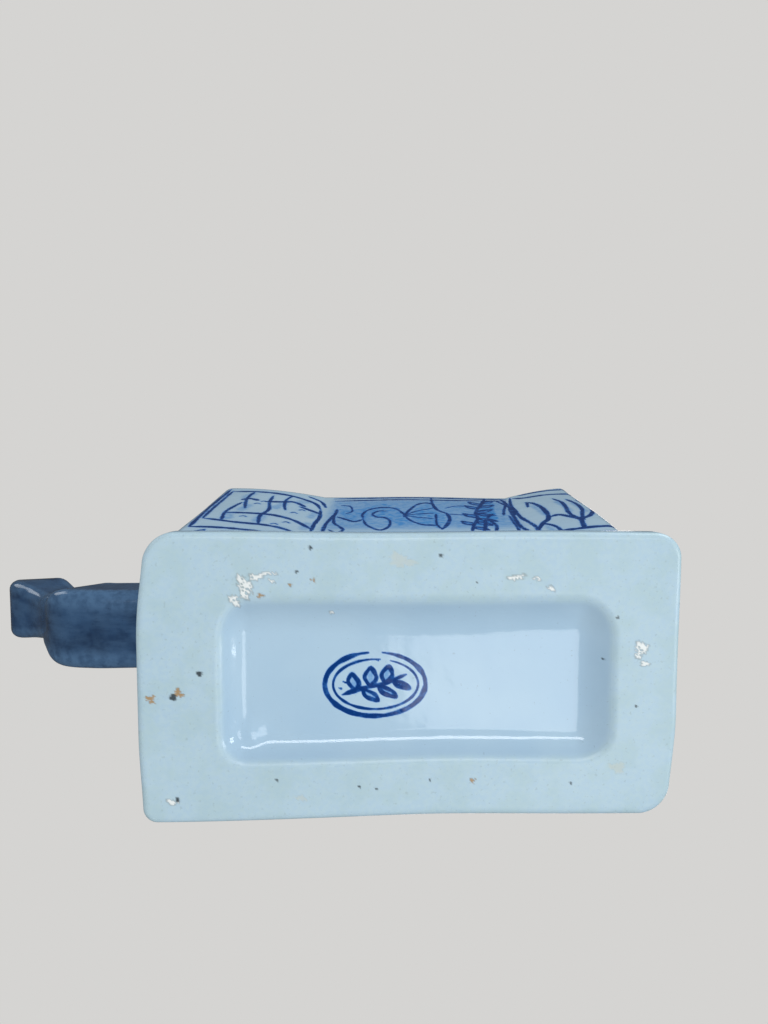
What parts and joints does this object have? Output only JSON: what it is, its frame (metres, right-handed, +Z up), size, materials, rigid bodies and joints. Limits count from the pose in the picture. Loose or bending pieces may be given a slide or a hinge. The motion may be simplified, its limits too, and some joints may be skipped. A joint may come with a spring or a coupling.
{
  "type": "teapot",
  "caption": "Wide rectangular slab-built porcelain teapot on a hollowed foot slab, with three-bay faces, a square spout, an ear handle and a lift-off lid.",
  "frame": {"origin": "centre of the foot slab's underside, which the pot stands on", "axes": "+Z up, -X towards the spout, +X towards the handle, -Y towards the front face"},
  "size_m": [0.2119, 0.074, 0.1145],
  "materials": {
    "white_glaze": "gloss",
    "cobalt_glaze": "gloss"
  },
  "bodies": {
    "pot": {"foot_slab": "white_glaze", "front_wall": "white_glaze", "back_wall": "white_glaze", "spout_end_wall": "white_glaze", "handle_end_wall": "white_glaze", "shoulder_slab": "white_glaze", "neck_collar": "white_glaze", "spout": "cobalt_glaze", "handle": "cobalt_glaze"},
    "lid": {"lid_plate": "white_glaze", "lid_flange": "white_glaze", "lid_knob": "cobalt_glaze"}
  },
  "joints": [
    {"name": "lid_lift", "type": "slide", "parent": "pot", "child": "lid", "axis": [0, 0, 1], "range_m": [0, 0.06]}
  ]
}
